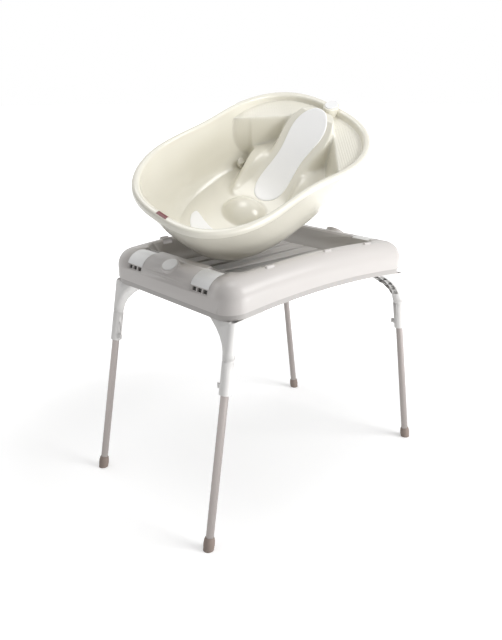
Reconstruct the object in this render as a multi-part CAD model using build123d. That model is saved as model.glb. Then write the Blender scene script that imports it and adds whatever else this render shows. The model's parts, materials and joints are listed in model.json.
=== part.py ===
from build123d import *
import math
import os

os.makedirs("parts", exist_ok=True)

# Stand deck, millimetres, floor at z = 0, length along x
deck_len = 833.0
deck_wid = 636.0
arch_rise = 25.0
arch_span = 1100.0
crest_mid = 843.0
part_mid = 751.0
skirt_mid = 733.0
corner_r = 66.0
shoulder_r = 60.0
wall = 3.5
hollow_drop = 40.0
tall = 2000.0
overlap = 1.0
clear_cut = 200.0

# Well in the deck top that takes the tub
well_floor = 773.0
well_floor_len = 590.0
well_floor_wid = 470.0
well_top_len = 700.0
well_top_wid = 520.0
well_top_z = 860.0
well_floor_r = 40.0
well_top_r = 54.0
floor_thick = 6.5
groove_wid = 11.0
groove_deep = 3.0
groove_len = 520.0
groove_count = 6
groove_pitch = 70.0
under_rib_x = (-210.0, 0.0, 210.0)
under_rib_y = (-120.0, 120.0)
under_rib = 3.0
under_rib_high = 12.0
under_rib_drop = 9.0
lug_x = (-222.0, 35.0, 240.0)
lug_y = 271.0
lug_len = 36.0
lug_wid = 13.0
lug_high = 4.0
lug_root = 6.0
lug_draft_deg = 6.0
lug_slot_len = 22.0
lug_slot_wid = 3.6
lug_slot_deep = 2.0
lug_slot_in = 1.0
notch_y = 252.0
notch_size = (40.0, 15.0, 26.0)
notch_drop = 4.0

# Skirt frame below the parting line
skirt_step = 1.5
skirt_wall = 4.0
flange_wid = 34.0
flange_thick = 4.0
tongue_thick = 2.5
tongue_high = 7.0
corner_plate = 118.0
fit_gap = 0.3
open_r = 40.0
band_over = 60.0

# Screws that hold the skirt and the knees
boss_x = (-250.0, 0.0, 250.0)
boss_edge = 18.0
boss_r = 5.5
boss_lift = 0.8
boss_high = 80.0
pilot_r = 2.05
pilot_deep = 16.0
clear_r = 2.3
head_well_r = 6.2
screw_r = 2.0
screw_head_r = 4.2
skirt_head_r = 4.6
screw_head = 2.6
knee_screw_len = 22.0
skirt_screw_len = 16.0
screw_edge = (40.0, 86.0, 84.0)
screw_in = 0.5
head_lift = 1.2
skirt_head_drop = 3.6
skirt_screw_drop = 2.0
knee_pilot_z = 690.0

# Sliding clips on the end shoulders
clip_y = 172.0
clip_wid = 84.0
clip_thick = 3.3
clip_low_deg = 24.0
clip_high_deg = 114.0
track_low_deg = 5.0
track_high_deg = 118.0
track_gap = 0.4
saddle_thick = 6.0
saddle_skin = 1.0
saddle_over_deg = 4.0
saddle_side = 10.0
track_clear = 14.0
clip_proud = 0.4
window_wid = 20.0
window_pitch = 26.0
window_low_deg = 8.0
window_high_deg = 21.0
window_deep = 16.0
window_out = 2.0

# Badge bosses on the end shoulders
badge_long = 58.0
badge_short = 42.0
badge_deg = 58.0
badge_proud = 7.0
badge_thick = 2.6
badge_root = 6.0
badge_edge = 5.0
badge_seat = 1.2
badge_lift = 0.1
boss_draft_deg = 8.0
badge_draft_deg = 14.0

# Legs
foot_x = 514.0
foot_y = 315.0
top_x = 391.0
top_y = 296.0
top_z = 711.0
tube_d = 25.0
tube_wall = 1.5
tube_gap = 0.08
tube_top = 655.0
tube_low = 12.0
tube_end_gap = 0.3
foot_d = 36.0
foot_high = 42.0
foot_line_in = ((1.0, -12.0), (1.0, 6.0), (0.0, 16.0), (0.6, 30.0))
foot_bevel = (2.6, 3.0)
foot_lip = 1.2
foot_gap = 0.02
sleeve_d = 35.0
sleeve_low = 494.0
sleeve_step = 601.0
sleeve_over = 6.0
socket_in = 1.0
socket_over = 8.0
bore_lead = 20.0
slit_rise = 34.0
slit_in = 20.0
slit_size = (3.0, 24.0, 34.0)
grip_y = (-7.0, 7.0)
grip_low = 12.0
grip_out = 2.0
grip_size = (6.0, 3.0)
grip_len = 84.0
knee_reach = 104.0
knee_wall = 4.0
knee_top = 724.0
knee_power = 2.25
knee_proud = 1.0
knee_round = 0.97
knee_rings = 7
core_rings = 4
core_in = 6.0
collar_proud = 0.9
collar_short = 9.0
knee_rib = 2.4
knee_rib_y = (4.0, 52.0)
knee_plate_z = (650.0, 672.0, 695.0)
core_low = 632.0
core_top = 717.0
core_round = 9.0
knob_z = 512.0
knob_d = 15.0
knob_shank_d = 7.0
knob_gap = 0.05
knob_thick = 5.0
knob_boss_r = 9.0
knob_boss_out = 4.0
shank_gap = 0.4
shank_over = 5.0
wing_out = 9.0
wing_thick = 5.0
wing_over = 3.0
wing_round = 2.0
wing_high = 8.0

# Tub, measured from the middle of its rim
rim_half_len = 465.0
rim_half_wid = 276.0
rim_power = 2.7
rim_taper = 0.077
oval_points = 16
wave_1 = -37.4
wave_2 = 11.3
wave_3 = 14.7
tub_wall = 3.5
tub_deep = 235.0
lip_wid = 17.0
lip_high = 24.0
lip_wall = 3.2
hull_z = (60.0, -60.0, -140.0, -200.0, -235.0)
hull_foot = (-452.0, -428.0, -374.0, -318.0, -262.0)
hull_head = (452.0, 424.0, 356.0, 272.0, 202.0)
hull_half = (263.0, 252.0, 230.0, 198.0, 156.0)
rim_reach = 120.0
mould_edge = 12.0
mould_skin = 4.5
arm_z = -128.0
arm_x = 24.0
arm_half = 140.0
arm_wide_x = 172.0
arm_round = 40.0
tray_z = -52.0
tray_x = 240.0
tray_y = 200.0
tray_slope = 1.75
tray_back = 404.0
seat_low = -205.0
seat_x = 68.0
seat_start = -6.0
seat_end = 394.0
seat_bend = 60.0
seat_half = 102.0
seat_waist = 82.0
seat_bay_half = 72.0
back_slope = 0.745
ridge_z = 14.0
pommel_x = -86.0
pommel_high = 84.0
pommel_reach = 80.0
pommel_flat = 5.0
pommel_line = ((0.29, 0.75), (0.6, 0.26))
bay_x_low = 190.0
bay_x_high = 330.0
bay_half = 150.0
drain_at = (136.0, 172.0, -192.0)
drain_tilt_deg = 50.0
drain_boss_r = 23.0
drain_boss_deep = 12.0
drain_boss_high = 4.0
drain_r = 15.0
plug_gap = 0.3
plug_deep = 10.0
plug_flange_r = 20.0
plug_flange_thick = 3.4
plug_grip_long = 18.0
plug_grip_thick = 4.0
plug_grip_high = 9.0
plug_grip_round = 1.8
plug_draft_deg = 12.0
back_pad_start = 34.0
back_pad_end = 356.0
back_pad_half = 62.0
back_pad_waist = 48.0
floor_pad_x = -206.0
floor_pad_half_len = 36.0
floor_pad_half_wid = 84.0
strip_z = 5.0
strip_wid = 36.0
strip_high = 10.0
bridge_x = 430.0
bridge_half_len = 35.0
bridge_half_wid = 27.0
rim_badge_inset = 6.0
bridge_top = 2.0
pad_thick = 3.0
pad_gap = 0.1
pad_draft_deg = 30.0
pad_swell = ((0.025, 0.6), (0.12, 1.0), (0.765, 1.0), (0.915, 0.93), (0.985, 0.6))
pad_dip = ((0.29, 0.5), (0.44, 0.0), (0.615, 0.5))
strip_thick = 0.9
seat_gap = 2.3

# Seat of the tub on the deck and the tip that shows it as in the picture
tub_seat_x = 13.6
tip_deg = 33.49
tip_dir = (0.74424, -0.61592, 0.25835)
tip_point = (-317.2, 23.7, 970.4)

half_len = deck_len / 2
half_wid = deck_wid / 2


def arch(mid, x):
    """Height at x of a line that is mid high at x = 0 and falls to the ends."""
    return mid - arch_rise * (x / half_len) ** 2


def arched_slab(length, width, corner, low_mid, high_mid):
    """Rounded rectangle in plan between two arched surfaces."""
    h = arch_span / 2
    low_end = arch(low_mid, h)
    high_end = arch(high_mid, h)
    low = ThreePointArc((-h, low_end), (0, low_mid), (h, low_end))
    high = ThreePointArc((h, high_end), (0, high_mid), (-h, high_end))
    right = Line((h, low_end), (h, high_end))
    left = Line((-h, high_end), (-h, low_end))
    side = Plane.XZ * make_face([low, right, high, left])
    plan = extrude(RectangleRounded(length, width, corner), amount=tall)
    return extrude(side, amount=width, both=True) & plan


def shouldered(length, width, corner, low_mid, high_mid, radius):
    """Arched slab with its top edge rounded over all the way round."""
    slab = arched_slab(length, width, corner, low_mid, high_mid)
    top = slab.faces().sort_by(Axis.Z)[-1]
    return fillet(top.edges(), radius)


def well_solid(grow, floor_z):
    """The hollow of the well, grown sideways, from the given floor up."""
    share = (floor_z - well_floor) / (well_top_z - well_floor)
    low_len = well_floor_len + share * (well_top_len - well_floor_len) + 2 * grow
    low_wid = well_floor_wid + share * (well_top_wid - well_floor_wid) + 2 * grow
    low = Pos(0, 0, floor_z) * RectangleRounded(low_len, low_wid, well_floor_r + grow)
    high = Pos(0, 0, well_top_z) * RectangleRounded(
        well_top_len + 2 * grow, well_top_wid + 2 * grow, well_top_r + grow
    )
    return loft([low, high])


# Middle of the end shoulder curve, seen along y
slope = math.atan(2 * arch_rise * (half_len - shoulder_r) / half_len**2)
roll_x = half_len - shoulder_r
roll_top_x = roll_x + shoulder_r * math.sin(slope)
roll_z = arch(crest_mid, roll_top_x) - shoulder_r * math.cos(slope)


def end_sector(side, r_in, r_out, low_deg, high_deg, y_mid, width):
    """Piece of a ring round the end shoulder curve; side is -1 or +1 for the end."""
    pts = []
    steps = 8
    for i in range(steps + 1):
        a = math.radians(low_deg + (high_deg - low_deg) * i / steps)
        pts.append((math.cos(a), math.sin(a)))
    outer = [(roll_x + r_out * c, roll_z + r_out * s) for c, s in pts]
    inner = [(roll_x + r_in * c, roll_z + r_in * s) for c, s in pts]
    mid = steps // 2
    edges = [
        ThreePointArc(outer[0], outer[mid], outer[-1]),
        Line(outer[-1], inner[-1]),
        ThreePointArc(inner[-1], inner[mid], inner[0]),
        Line(inner[0], outer[0]),
    ]
    ring = extrude(Plane.XZ * make_face(edges), amount=width / 2, both=True)
    ring = Pos(0, y_mid, 0) * ring
    return ring if side > 0 else mirror(ring, about=Plane.YZ)


def outward(side):
    """Plane on the end shoulder where the badge sits, facing out."""
    a = math.radians(badge_deg)
    origin = (side * (roll_x + shoulder_r * math.cos(a)), 0, roll_z + shoulder_r * math.sin(a))
    normal = (side * math.cos(a), 0, math.sin(a))
    return Plane(origin=origin, x_dir=(0, 1, 0), z_dir=normal)


def save(shape, name):
    """Write one node."""
    export_step(shape, f"parts/{name}.step")


# Deck shell: rounded outside, hollow below, with the well let into it
outer = shouldered(deck_len, deck_wid, corner_r, part_mid, crest_mid, shoulder_r)
hollow = shouldered(
    deck_len - 2 * wall,
    deck_wid - 2 * wall,
    corner_r - wall,
    part_mid - hollow_drop,
    crest_mid - wall,
    shoulder_r - wall,
)
deck = outer - hollow
deck += well_solid(wall, well_floor - floor_thick) & outer
under_rib_z = well_floor - under_rib_drop
for rib_x in under_rib_x:
    deck += Pos(rib_x, 0, under_rib_z) * Box(under_rib, deck_wid - 2 * wall, under_rib_high)
for rib_y in under_rib_y:
    deck += Pos(0, rib_y, under_rib_z) * Box(deck_len - 2 * wall, under_rib, under_rib_high)
for end in (-1, 1):
    for y in (-clip_y, clip_y):
        deck += end_sector(
            end,
            shoulder_r - clip_thick - saddle_thick,
            shoulder_r - saddle_skin,
            track_low_deg - saddle_over_deg,
            track_high_deg + saddle_over_deg,
            y,
            clip_wid + saddle_side,
        )
    place = outward(end)
    button = Ellipse(badge_long / 2, badge_short / 2)
    deck += place * extrude(button, amount=badge_proud, taper=boss_draft_deg)
    deck += place * extrude(button, amount=-badge_root)
deck -= well_solid(0, well_floor)
for end in (-1, 1):
    for y in (-clip_y, clip_y):
        deck -= end_sector(
            end,
            shoulder_r - clip_thick,
            shoulder_r + track_clear,
            track_low_deg,
            track_high_deg,
            y,
            clip_wid + 2 * track_gap,
        )
        for k in (-1, 0, 1):
            deck -= end_sector(
                end,
                shoulder_r - window_deep,
                shoulder_r + window_out,
                window_low_deg,
                window_high_deg,
                y + k * window_pitch,
                window_wid,
            )
    badge_bed = Ellipse(badge_long / 2 - badge_edge, badge_short / 2 - badge_edge)
    deck -= outward(end) * Pos(0, 0, badge_proud - badge_seat) * extrude(badge_bed, amount=badge_proud)
for k in range(groove_count):
    y = (k - (groove_count - 1) / 2) * groove_pitch
    groove = extrude(SlotOverall(groove_len, groove_wid), amount=2 * groove_deep)
    deck -= Pos(0, y, well_floor - groove_deep) * groove
for side in (-1, 1):
    for x in lug_x:
        top = arch(crest_mid, x)
        lug = extrude(SlotOverall(lug_len, lug_wid), amount=lug_root + lug_high, taper=lug_draft_deg)
        deck += Pos(x, side * lug_y, top - lug_root) * lug
        lug_slot = extrude(SlotOverall(lug_slot_len, lug_slot_wid), amount=3 * lug_high)
        deck -= Pos(x, side * (lug_y - lug_slot_in), top - lug_slot_deep) * lug_slot
    deck -= Pos(lug_x[0], side * notch_y, arch(crest_mid, lug_x[0]) - notch_drop) * Box(*notch_size)
boss_y = half_wid - boss_edge
for side in (-1, 1):
    for x in boss_x:
        low = arch(skirt_mid + flange_thick, x) + boss_lift
        boss = Pos(x, side * boss_y, low) * extrude(Circle(boss_r), amount=boss_high)
        boss_foot = Pos(x, side * boss_y, low) * extrude(Circle(boss_r), amount=boss_high / 4)
        deck += boss & outer + boss_foot
        deck -= Pos(x, side * boss_y, low - overlap) * extrude(Circle(pilot_r), amount=pilot_deep)
save(deck, "deck_shell")

# Skirt frame: a stepped band with a flange, corner plates and an upstanding tongue
band = arched_slab(deck_len + 2 * skirt_step, deck_wid + 2 * skirt_step, corner_r, skirt_mid, part_mid)
band_in = arched_slab(
    deck_len + 2 * (skirt_step - skirt_wall),
    deck_wid + 2 * (skirt_step - skirt_wall),
    corner_r - skirt_wall,
    skirt_mid + flange_thick,
    part_mid + band_over,
)
open_in = extrude(RectangleRounded(deck_len - 2 * flange_wid, deck_wid - 2 * flange_wid, open_r), amount=tall)
skirt = band - band_in - open_in
flange = arched_slab(deck_len, deck_wid, corner_r, skirt_mid, skirt_mid + flange_thick)
for sx in (-1, 1):
    for sy in (-1, 1):
        plate_x = sx * (half_len - corner_plate / 2)
        plate_y = sy * (half_wid - corner_plate / 2)
        plate = Pos(plate_x, plate_y, skirt_mid) * Box(corner_plate, corner_plate, 2 * corner_plate)
        skirt += flange & plate
tongue_out = wall + fit_gap
tongue_in = tongue_out + tongue_thick
tongue = arched_slab(
    deck_len - 2 * tongue_out,
    deck_wid - 2 * tongue_out,
    corner_r - tongue_out,
    skirt_mid,
    part_mid + tongue_high,
)
tongue -= arched_slab(
    deck_len - 2 * tongue_in,
    deck_wid - 2 * tongue_in,
    corner_r - tongue_in,
    skirt_mid - hollow_drop,
    part_mid + band_over,
)
skirt += tongue
for side in (-1, 1):
    for x in boss_x:
        below = Pos(x, side * boss_y, skirt_mid - band_over)
        skirt -= below * extrude(Circle(clear_r), amount=1.5 * band_over)
        skirt -= below * extrude(Circle(head_well_r), amount=band_over / 2)
at_edge, along_edge, diagonal = screw_edge
screw_xy = (
    (half_len - at_edge, half_wid - along_edge),
    (half_len - along_edge, half_wid - at_edge),
    (half_len - diagonal, half_wid - diagonal),
)
for sx in (-1, 1):
    for sy in (-1, 1):
        for px, py in screw_xy:
            hole = extrude(Circle(clear_r), amount=2 * boss_high)
            skirt -= Pos(sx * px, sy * py, skirt_mid - boss_high) * hole
save(skirt, "skirt_frame")

# Leg axis for the corner at -x, -y
axis_vec = Vector(foot_x - top_x, foot_y - top_y, -top_z).normalized()
leg_dir = Vector(-axis_vec.X, -axis_vec.Y, axis_vec.Z)
leg_foot = Vector(-foot_x, -foot_y, 0)


def on_leg(z):
    """Point of the leg's middle line at height z."""
    t = -z / leg_dir.Z
    return leg_foot - leg_dir * t


def leg_plane(z):
    """Plane square to the leg at height z, its normal up the leg."""
    return Plane(origin=on_leg(z), x_dir=(1, 0, leg_dir.X / -leg_dir.Z), z_dir=-leg_dir)


def run_up(z):
    """Distance along the leg from the floor to height z."""
    return z / -leg_dir.Z


def knee_spread(z):
    """How far the knee reaches inwards at height z: little at the sleeve, wide under the deck."""
    return knee_reach * ((z - sleeve_step) / (knee_top - sleeve_step)) ** knee_power


def knee_ring(share):
    """Outline of the knee, its outer corner a little proud of the sleeve, spreading inwards."""
    z = sleeve_step + share * (knee_top - sleeve_step)
    c = on_leg(z)
    r = sleeve_d / 2 + knee_proud
    size = 2 * r + knee_spread(z)
    return Pos(c.X - r + size / 2, c.Y - r + size / 2, z) * RectangleRounded(size, size, knee_round * r)


def core_ring(share):
    """Outline of the hollow in the knee, open to the inside along x."""
    z = core_low + share * (core_top - core_low)
    c = on_leg(z)
    r = sleeve_d / 2 + knee_proud
    size = 2 * r + knee_spread(z)
    hole = RectangleRounded(size, size - 2 * knee_wall, core_round)
    return Pos(c.X - r + size / 2 + core_in, c.Y - r + size / 2, z) * hole


knee = loft([knee_ring(i / (knee_rings - 1)) for i in range(knee_rings)], ruled=True)
core = loft([core_ring(i / (core_rings - 1)) for i in range(core_rings)], ruled=True)
plates = None
for dy in knee_rib_y:
    rib = Pos(-top_x, on_leg(core_low).Y + dy, core_low) * Box(4 * knee_reach, knee_rib, 4 * knee_reach)
    plates = rib if plates is None else plates + rib
for dz in knee_plate_z:
    plates += Pos(-top_x, -top_y, dz) * Box(4 * knee_reach, 4 * knee_reach, knee_rib)
socket_len = run_up(tube_top + socket_over) - run_up(sleeve_step)
socket = leg_plane(sleeve_step) * extrude(Circle(sleeve_d / 2 - socket_in), amount=socket_len)
knee = knee - (core - plates)
knee += socket
sleeve_len = run_up(sleeve_step) - run_up(sleeve_low)
sleeve = leg_plane(sleeve_low) * extrude(Circle(sleeve_d / 2), amount=sleeve_len + sleeve_over)
collar = extrude(Circle(sleeve_d / 2 + collar_proud), amount=sleeve_len - collar_short)
collar = leg_plane(sleeve_low) * collar
knee += sleeve + collar
boss_at = on_leg(knob_z)
boss_plane = Plane(origin=boss_at, x_dir=(1, 0, 0), z_dir=(0, 1, 0))
knee += boss_plane * extrude(Circle(knob_boss_r), amount=sleeve_d / 2 + knob_boss_out)
bore_low = sleeve_low - bore_lead
bore_len = run_up(tube_top) - run_up(bore_low) + tube_end_gap
bore = leg_plane(bore_low) * extrude(Circle(tube_d / 2 + tube_gap), amount=bore_len)
knee -= bore
knee -= boss_plane * extrude(Circle(knob_shank_d / 2 + knob_gap), amount=2 * sleeve_d)
slit_mid = on_leg(knob_z + slit_rise)
knee -= Pos(slit_mid.X, slit_mid.Y + slit_in, slit_mid.Z) * Box(*slit_size)
for off in grip_y:
    grip_groove = Pos(sleeve_d / 2 + grip_out, off, 0) * extrude(Rectangle(*grip_size), amount=grip_len)
    knee -= leg_plane(sleeve_low + grip_low) * grip_groove
over_top = crest_mid + clear_cut / 2
knee -= arched_slab(deck_len + clear_cut, deck_wid + clear_cut, corner_r, skirt_mid, over_top)
for px, py in screw_xy:
    knee -= Pos(-px, -py, knee_pilot_z) * extrude(Circle(pilot_r), amount=boss_high)

tube = leg_plane(tube_low) * extrude(Circle(tube_d / 2), amount=run_up(tube_top) - run_up(tube_low))
tube -= leg_plane(tube_low) * extrude(Circle(tube_d / 2 - tube_wall), amount=tall)

foot_r = foot_d / 2
foot_line = [(0, foot_line_in[0][1])]
foot_line += [(foot_r - inset, z) for inset, z in foot_line_in]
foot_line += [(foot_r - foot_bevel[0], foot_high - foot_bevel[1])]
foot_line += [(tube_d / 2 + foot_lip, foot_high), (0, foot_high)]
foot_sketch = make_face(Polyline(*foot_line, close=True))
foot = leg_plane(0) * revolve(Plane.XZ * foot_sketch, Axis.Z)
foot -= leg_plane(tube_low) * extrude(Circle(tube_d / 2 + foot_gap), amount=tall)
foot -= Pos(-foot_x, -foot_y, -2 * foot_high) * Box(4 * foot_d, 4 * foot_d, 4 * foot_high)

shank_len = sleeve_d / 2 + shank_over - tube_d / 2
shank = Pos(0, 0, tube_d / 2 + shank_gap) * extrude(Circle(knob_shank_d / 2), amount=shank_len)
knob_low = sleeve_d / 2 + knob_boss_out + fit_gap
knob_base = Pos(0, 0, knob_low) * extrude(Circle(knob_d / 2), amount=knob_thick)
wing = RectangleRounded(wing_thick, knob_d + wing_over, wing_round)
knob_wing = Pos(0, 0, sleeve_d / 2 + wing_out) * extrude(wing, amount=wing_high)
knob = boss_plane * shank + boss_plane * knob_base + boss_plane * knob_wing

corners = (("front_near", -1, -1), ("front_far", -1, 1), ("back_near", 1, -1), ("back_far", 1, 1))


def at_corner(shape, sx, sy):
    """The shape drawn for the corner at -x, -y, moved to another corner."""
    if sx > 0:
        shape = mirror(shape, about=Plane.YZ)
    if sy > 0:
        shape = mirror(shape, about=Plane.XZ)
    return shape


for name, sx, sy in corners:
    save(at_corner(knee, sx, sy), f"knee_{name}")
    save(at_corner(tube, sx, sy), f"leg_tube_{name}")
    save(at_corner(foot, sx, sy), f"foot_{name}")
    save(at_corner(knob, sx, sy), f"clamp_knob_{name}")

# Screws: heads inside the deck for the knees, heads below for the skirt
knee_screws = []
for sx in (-1, 1):
    for sy in (-1, 1):
        for px, py in screw_xy:
            head_z = arch(skirt_mid + flange_thick, px) + head_lift
            thread = extrude(Circle(screw_r), amount=knee_screw_len + screw_in)
            screw = Pos(sx * px, sy * py, head_z - knee_screw_len) * thread
            screw += Pos(sx * px, sy * py, head_z) * extrude(Circle(screw_head_r), amount=screw_head)
            knee_screws.append(screw)
save(Compound(children=knee_screws), "knee_screws")
skirt_screws = []
for side in (-1, 1):
    for x in boss_x:
        low = arch(skirt_mid, x)
        head = extrude(Circle(skirt_head_r), amount=screw_head)
        thread = extrude(Circle(screw_r), amount=skirt_screw_len)
        screw = Pos(x, side * boss_y, low - skirt_head_drop) * head
        screw += Pos(x, side * boss_y, low - skirt_screw_drop) * thread
        skirt_screws.append(screw)
save(Compound(children=skirt_screws), "skirt_screws")

# Clips and badges
for end, end_name in ((-1, "front"), (1, "back")):
    for y, y_name in ((-clip_y, "near"), (clip_y, "far")):
        clip_in = shoulder_r - clip_thick + track_gap
        clip_out = shoulder_r + clip_proud
        clip = end_sector(end, clip_in, clip_out, clip_low_deg, clip_high_deg, y, clip_wid)
        save(clip, f"clip_{end_name}_{y_name}")
    badge_in = badge_edge + fit_gap
    badge = Ellipse(badge_long / 2 - badge_in, badge_short / 2 - badge_in)
    badge = extrude(badge, amount=badge_thick, taper=badge_draft_deg)
    save(outward(end) * Pos(0, 0, badge_proud - badge_seat + badge_lift) * badge, f"badge_{end_name}")


# Tub, drawn level about the middle of its rim
def wave(x):
    """Height of the rim at x."""
    u = x / rim_half_len
    return wave_1 * u + wave_2 * u**2 + wave_3 * u**3


def signed_power(value):
    """Power that squares up an oval, keeping the sign."""
    return math.copysign(max(abs(value), 1e-9) ** (2 / rim_power), value)


def oval(z, foot_end, head_end, half):
    """Flat oval at height z between two ends, fuller than an ellipse and wider at the head."""
    pts = []
    for i in range(oval_points):
        a = 2 * math.pi * (i + 0.5) / oval_points
        px = signed_power(math.cos(a))
        py = signed_power(math.sin(a)) * (1 + rim_taper * math.cos(a))
        pts.append(((foot_end + head_end) / 2 + (head_end - foot_end) / 2 * px, half * py))
    return Pos(0, 0, z) * make_face(Spline(pts, periodic=True))


def rim_oval(inset):
    """Upright prism on the rim outline, drawn in by the inset."""
    flat = oval(-rim_reach, inset - rim_half_len, rim_half_len - inset, rim_half_wid - inset)
    return extrude(flat, amount=2 * rim_reach)


def hull(inset):
    """Outside of the tub drawn in by the inset, open ended above the rim."""
    rings = []
    for z, a, b, w in zip(hull_z, hull_foot, hull_head, hull_half):
        lift = inset if z < arm_z else 0
        rings.append(oval(z + lift, a + inset, b - inset, w - inset))
    return loft(rings)


def below_rim(drop):
    """Everything lower than the rim line less the drop."""
    far = rim_half_len + 2 * lip_wid
    pts = [(far * i / 4, wave(far * i / 4) - drop) for i in range(-4, 5)]
    rest = Polyline(pts[-1], (far, -2 * tub_deep), (-far, -2 * tub_deep), pts[0])
    return extrude(Plane.XZ * make_face([Spline(pts), rest]), amount=2 * rim_half_wid, both=True)


def block(length, width, top, x_start, round_r, edge_r):
    """Upright block from below the tub to the top height, rounded in plan and along its top edge."""
    plan = Pos(x_start + length / 2, 0, -2 * tub_deep) * RectangleRounded(length, width, round_r)
    solid = extrude(plan, amount=top + 2 * tub_deep)
    return fillet(solid.faces().sort_by(Axis.Z)[-1].edges(), edge_r)


def arm_rests(skin):
    """Arm rest block beside the seat, spreading to the side walls further up, less a skin."""
    narrow = block(rim_half_len, 2 * (arm_half - skin), arm_z - skin, arm_x + skin, arm_round, mould_edge)
    wide = block(rim_half_len, 3 * rim_half_wid, arm_z - skin, arm_wide_x + skin, arm_round, mould_edge)
    return narrow + wide


def trays(skin):
    """Shelf across the head end, behind a wall that slants forward to each side, less a skin."""
    front = tray_x + skin * math.hypot(1, tray_slope)
    out = 2 * rim_half_wid
    back_y = tray_y - (tray_back - front) / tray_slope
    side_x = front + tray_slope * (tray_y - out)
    far = 2 * rim_half_len
    pts = [(side_x, out), (tray_back, back_y), (tray_back, -back_y), (side_x, -out), (far, -out), (far, out)]
    plan = Pos(0, 0, -2 * tub_deep) * make_face(Polyline(*pts, close=True))
    solid = extrude(plan, amount=tray_z - skin + 2 * tub_deep, dir=(0, 0, 1))
    return fillet(solid.faces().sort_by(Axis.Z)[-1].edges(), mould_edge / 2)


def back_profile(drop, start, finish):
    """Side view of the recliner: flat seat, rounded bend, straight back and level ridge."""
    ridge_x = seat_x + (ridge_z - seat_low) / back_slope
    pts = [
        (start, -2 * tub_deep),
        (start, seat_low - drop),
        (seat_x, seat_low - drop),
        (ridge_x, ridge_z - drop),
        (finish, ridge_z - drop),
        (finish, -2 * tub_deep),
    ]
    radii = [mould_edge / 4, mould_edge, seat_bend, mould_edge, mould_edge, mould_edge / 4]
    return make_face(FilletPolyline(*pts, radius=radii, close=True))


def plan_face(points):
    """Face with a smooth outline, given for one side of the middle line."""
    other = [(x, -y) for x, y in reversed(points[1:-1])]
    return make_face(Spline(points + other, periodic=True))


def peanut(start, finish, half, waist):
    """Outline from start to finish with two swells and a waist between them."""
    long = finish - start
    pts = [(start + t * long, k * half) for t, k in pad_swell]
    narrow = [(start + t * long, waist + k * (half - waist)) for t, k in pad_dip]
    return plan_face([(start, 0)] + pts[:2] + narrow + pts[2:] + [(finish, 0)])


def upright(face, low, high):
    """Upright block on a plan, between two heights."""
    return Pos(0, 0, low) * extrude(face, amount=high - low, dir=(0, 0, 1))


def bell():
    """Rounded pommel standing on the tub's floor."""
    knots = [(pommel_flat, pommel_high)]
    knots += [(out * pommel_reach, up * pommel_high) for out, up in pommel_line]
    knots += [(pommel_reach, 0)]
    below = Polyline((pommel_reach, 0), (pommel_reach, -tub_wall), (0, -tub_wall), (0, pommel_high), knots[0])
    half = make_face([Spline(knots, tangents=((1, 0), (1, 0))), below])
    return Pos(pommel_x, 0, tub_wall - tub_deep) * revolve(Plane.XZ * half, Axis.Z)


def recline(drop, start, finish, half):
    """Block under the recliner's surface less a drop, as wide as twice the half."""
    return extrude(Plane.XZ * back_profile(drop, start, finish), amount=half, both=True)


outside = hull(0)
inside = hull(tub_wall)

# Forms that rise inside: arm rests and trays with a channel for the recliner, pommel, bridge and drain boss
deep_z = -2 * tub_deep
seat_plan = upright(peanut(seat_start, seat_end, seat_half, seat_waist), deep_z, tub_deep)
seat_block = recline(0, seat_start - 4 * mould_edge, seat_end + 4 * mould_edge, arm_half) & seat_plan
shelves = arm_rests(0) + trays(0) - seat_plan
bridge = Pos(bridge_x, 0) * Ellipse(bridge_half_len, bridge_half_wid)
bridge = upright(bridge, tray_z - mould_skin, bridge_top)
tilt = math.radians(drain_tilt_deg)
drain_plane = Plane(origin=drain_at, x_dir=(1, 0, 0), z_dir=(0, -math.sin(tilt), math.cos(tilt)))
drain_boss = drain_plane * Pos(0, 0, -drain_boss_deep) * extrude(
    Circle(drain_boss_r), amount=drain_boss_deep + drain_boss_high
)
drain_bore = Pos(0, 0, -3 * drain_boss_deep) * extrude(Circle(drain_r), amount=6 * drain_boss_deep)
drain_bore = drain_plane * drain_bore
cavity = inside - [shelves, seat_block, bell(), bridge, drain_boss]

# Underneath, the recliner and the arm rests are hollow and open below
bay_top = arm_z - mould_skin
bay_plan = RectangleRounded(bay_x_high - bay_x_low, 2 * bay_half, mould_edge)
bay_plan = Pos((bay_x_low + bay_x_high) / 2, 0) * bay_plan
bay = upright(bay_plan, deep_z, bay_top)
bend_x = seat_x + (bay_top - seat_low + 2 * mould_skin) / back_slope
seat_under = [
    (arm_x, deep_z),
    (arm_x, seat_low - mould_skin),
    (seat_x, seat_low - mould_skin),
    (bend_x, bay_top - mould_skin / 2),
    (bay_x_low + mould_edge, bay_top - mould_skin / 2),
    (bay_x_low + mould_edge, deep_z),
]
seat_bay = extrude(Plane.XZ * make_face(Polyline(*seat_under, close=True)), amount=seat_bay_half, both=True)

# The lip is a rolled ring along the rim, open underneath
ring = rim_oval(0) - rim_oval(2 * lip_wid)
ring &= below_rim(0)
ring -= below_rim(lip_high)
lip_hollow = rim_oval(lip_wall) - rim_oval(lip_wid - overlap)
ring -= lip_hollow & below_rim(lip_wall)
shell = (outside & below_rim(lip_wall / 2)) + [ring, bridge & rim_oval(lip_wall)]
tub = shell - [cavity, bay, seat_bay, Pos(0, 0, -mould_skin) * bell(), drain_bore]

# The plug sits in the drain and is drawn along its axis
flange_low = drain_boss_high + pad_gap
flange_top = flange_low + plug_flange_thick
stem = extrude(Circle(drain_r - plug_gap), amount=plug_deep + flange_low)
plug = drain_plane * Pos(0, 0, -plug_deep) * stem
cap = extrude(Circle(plug_flange_r), amount=plug_flange_thick, taper=plug_draft_deg)
plug += drain_plane * Pos(0, 0, flange_low) * cap
grip = RectangleRounded(plug_grip_long, plug_grip_thick, plug_grip_round)
plug += drain_plane * Pos(0, 0, flange_top - plug_grip_thick / 8) * extrude(grip, amount=plug_grip_high)

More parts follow.
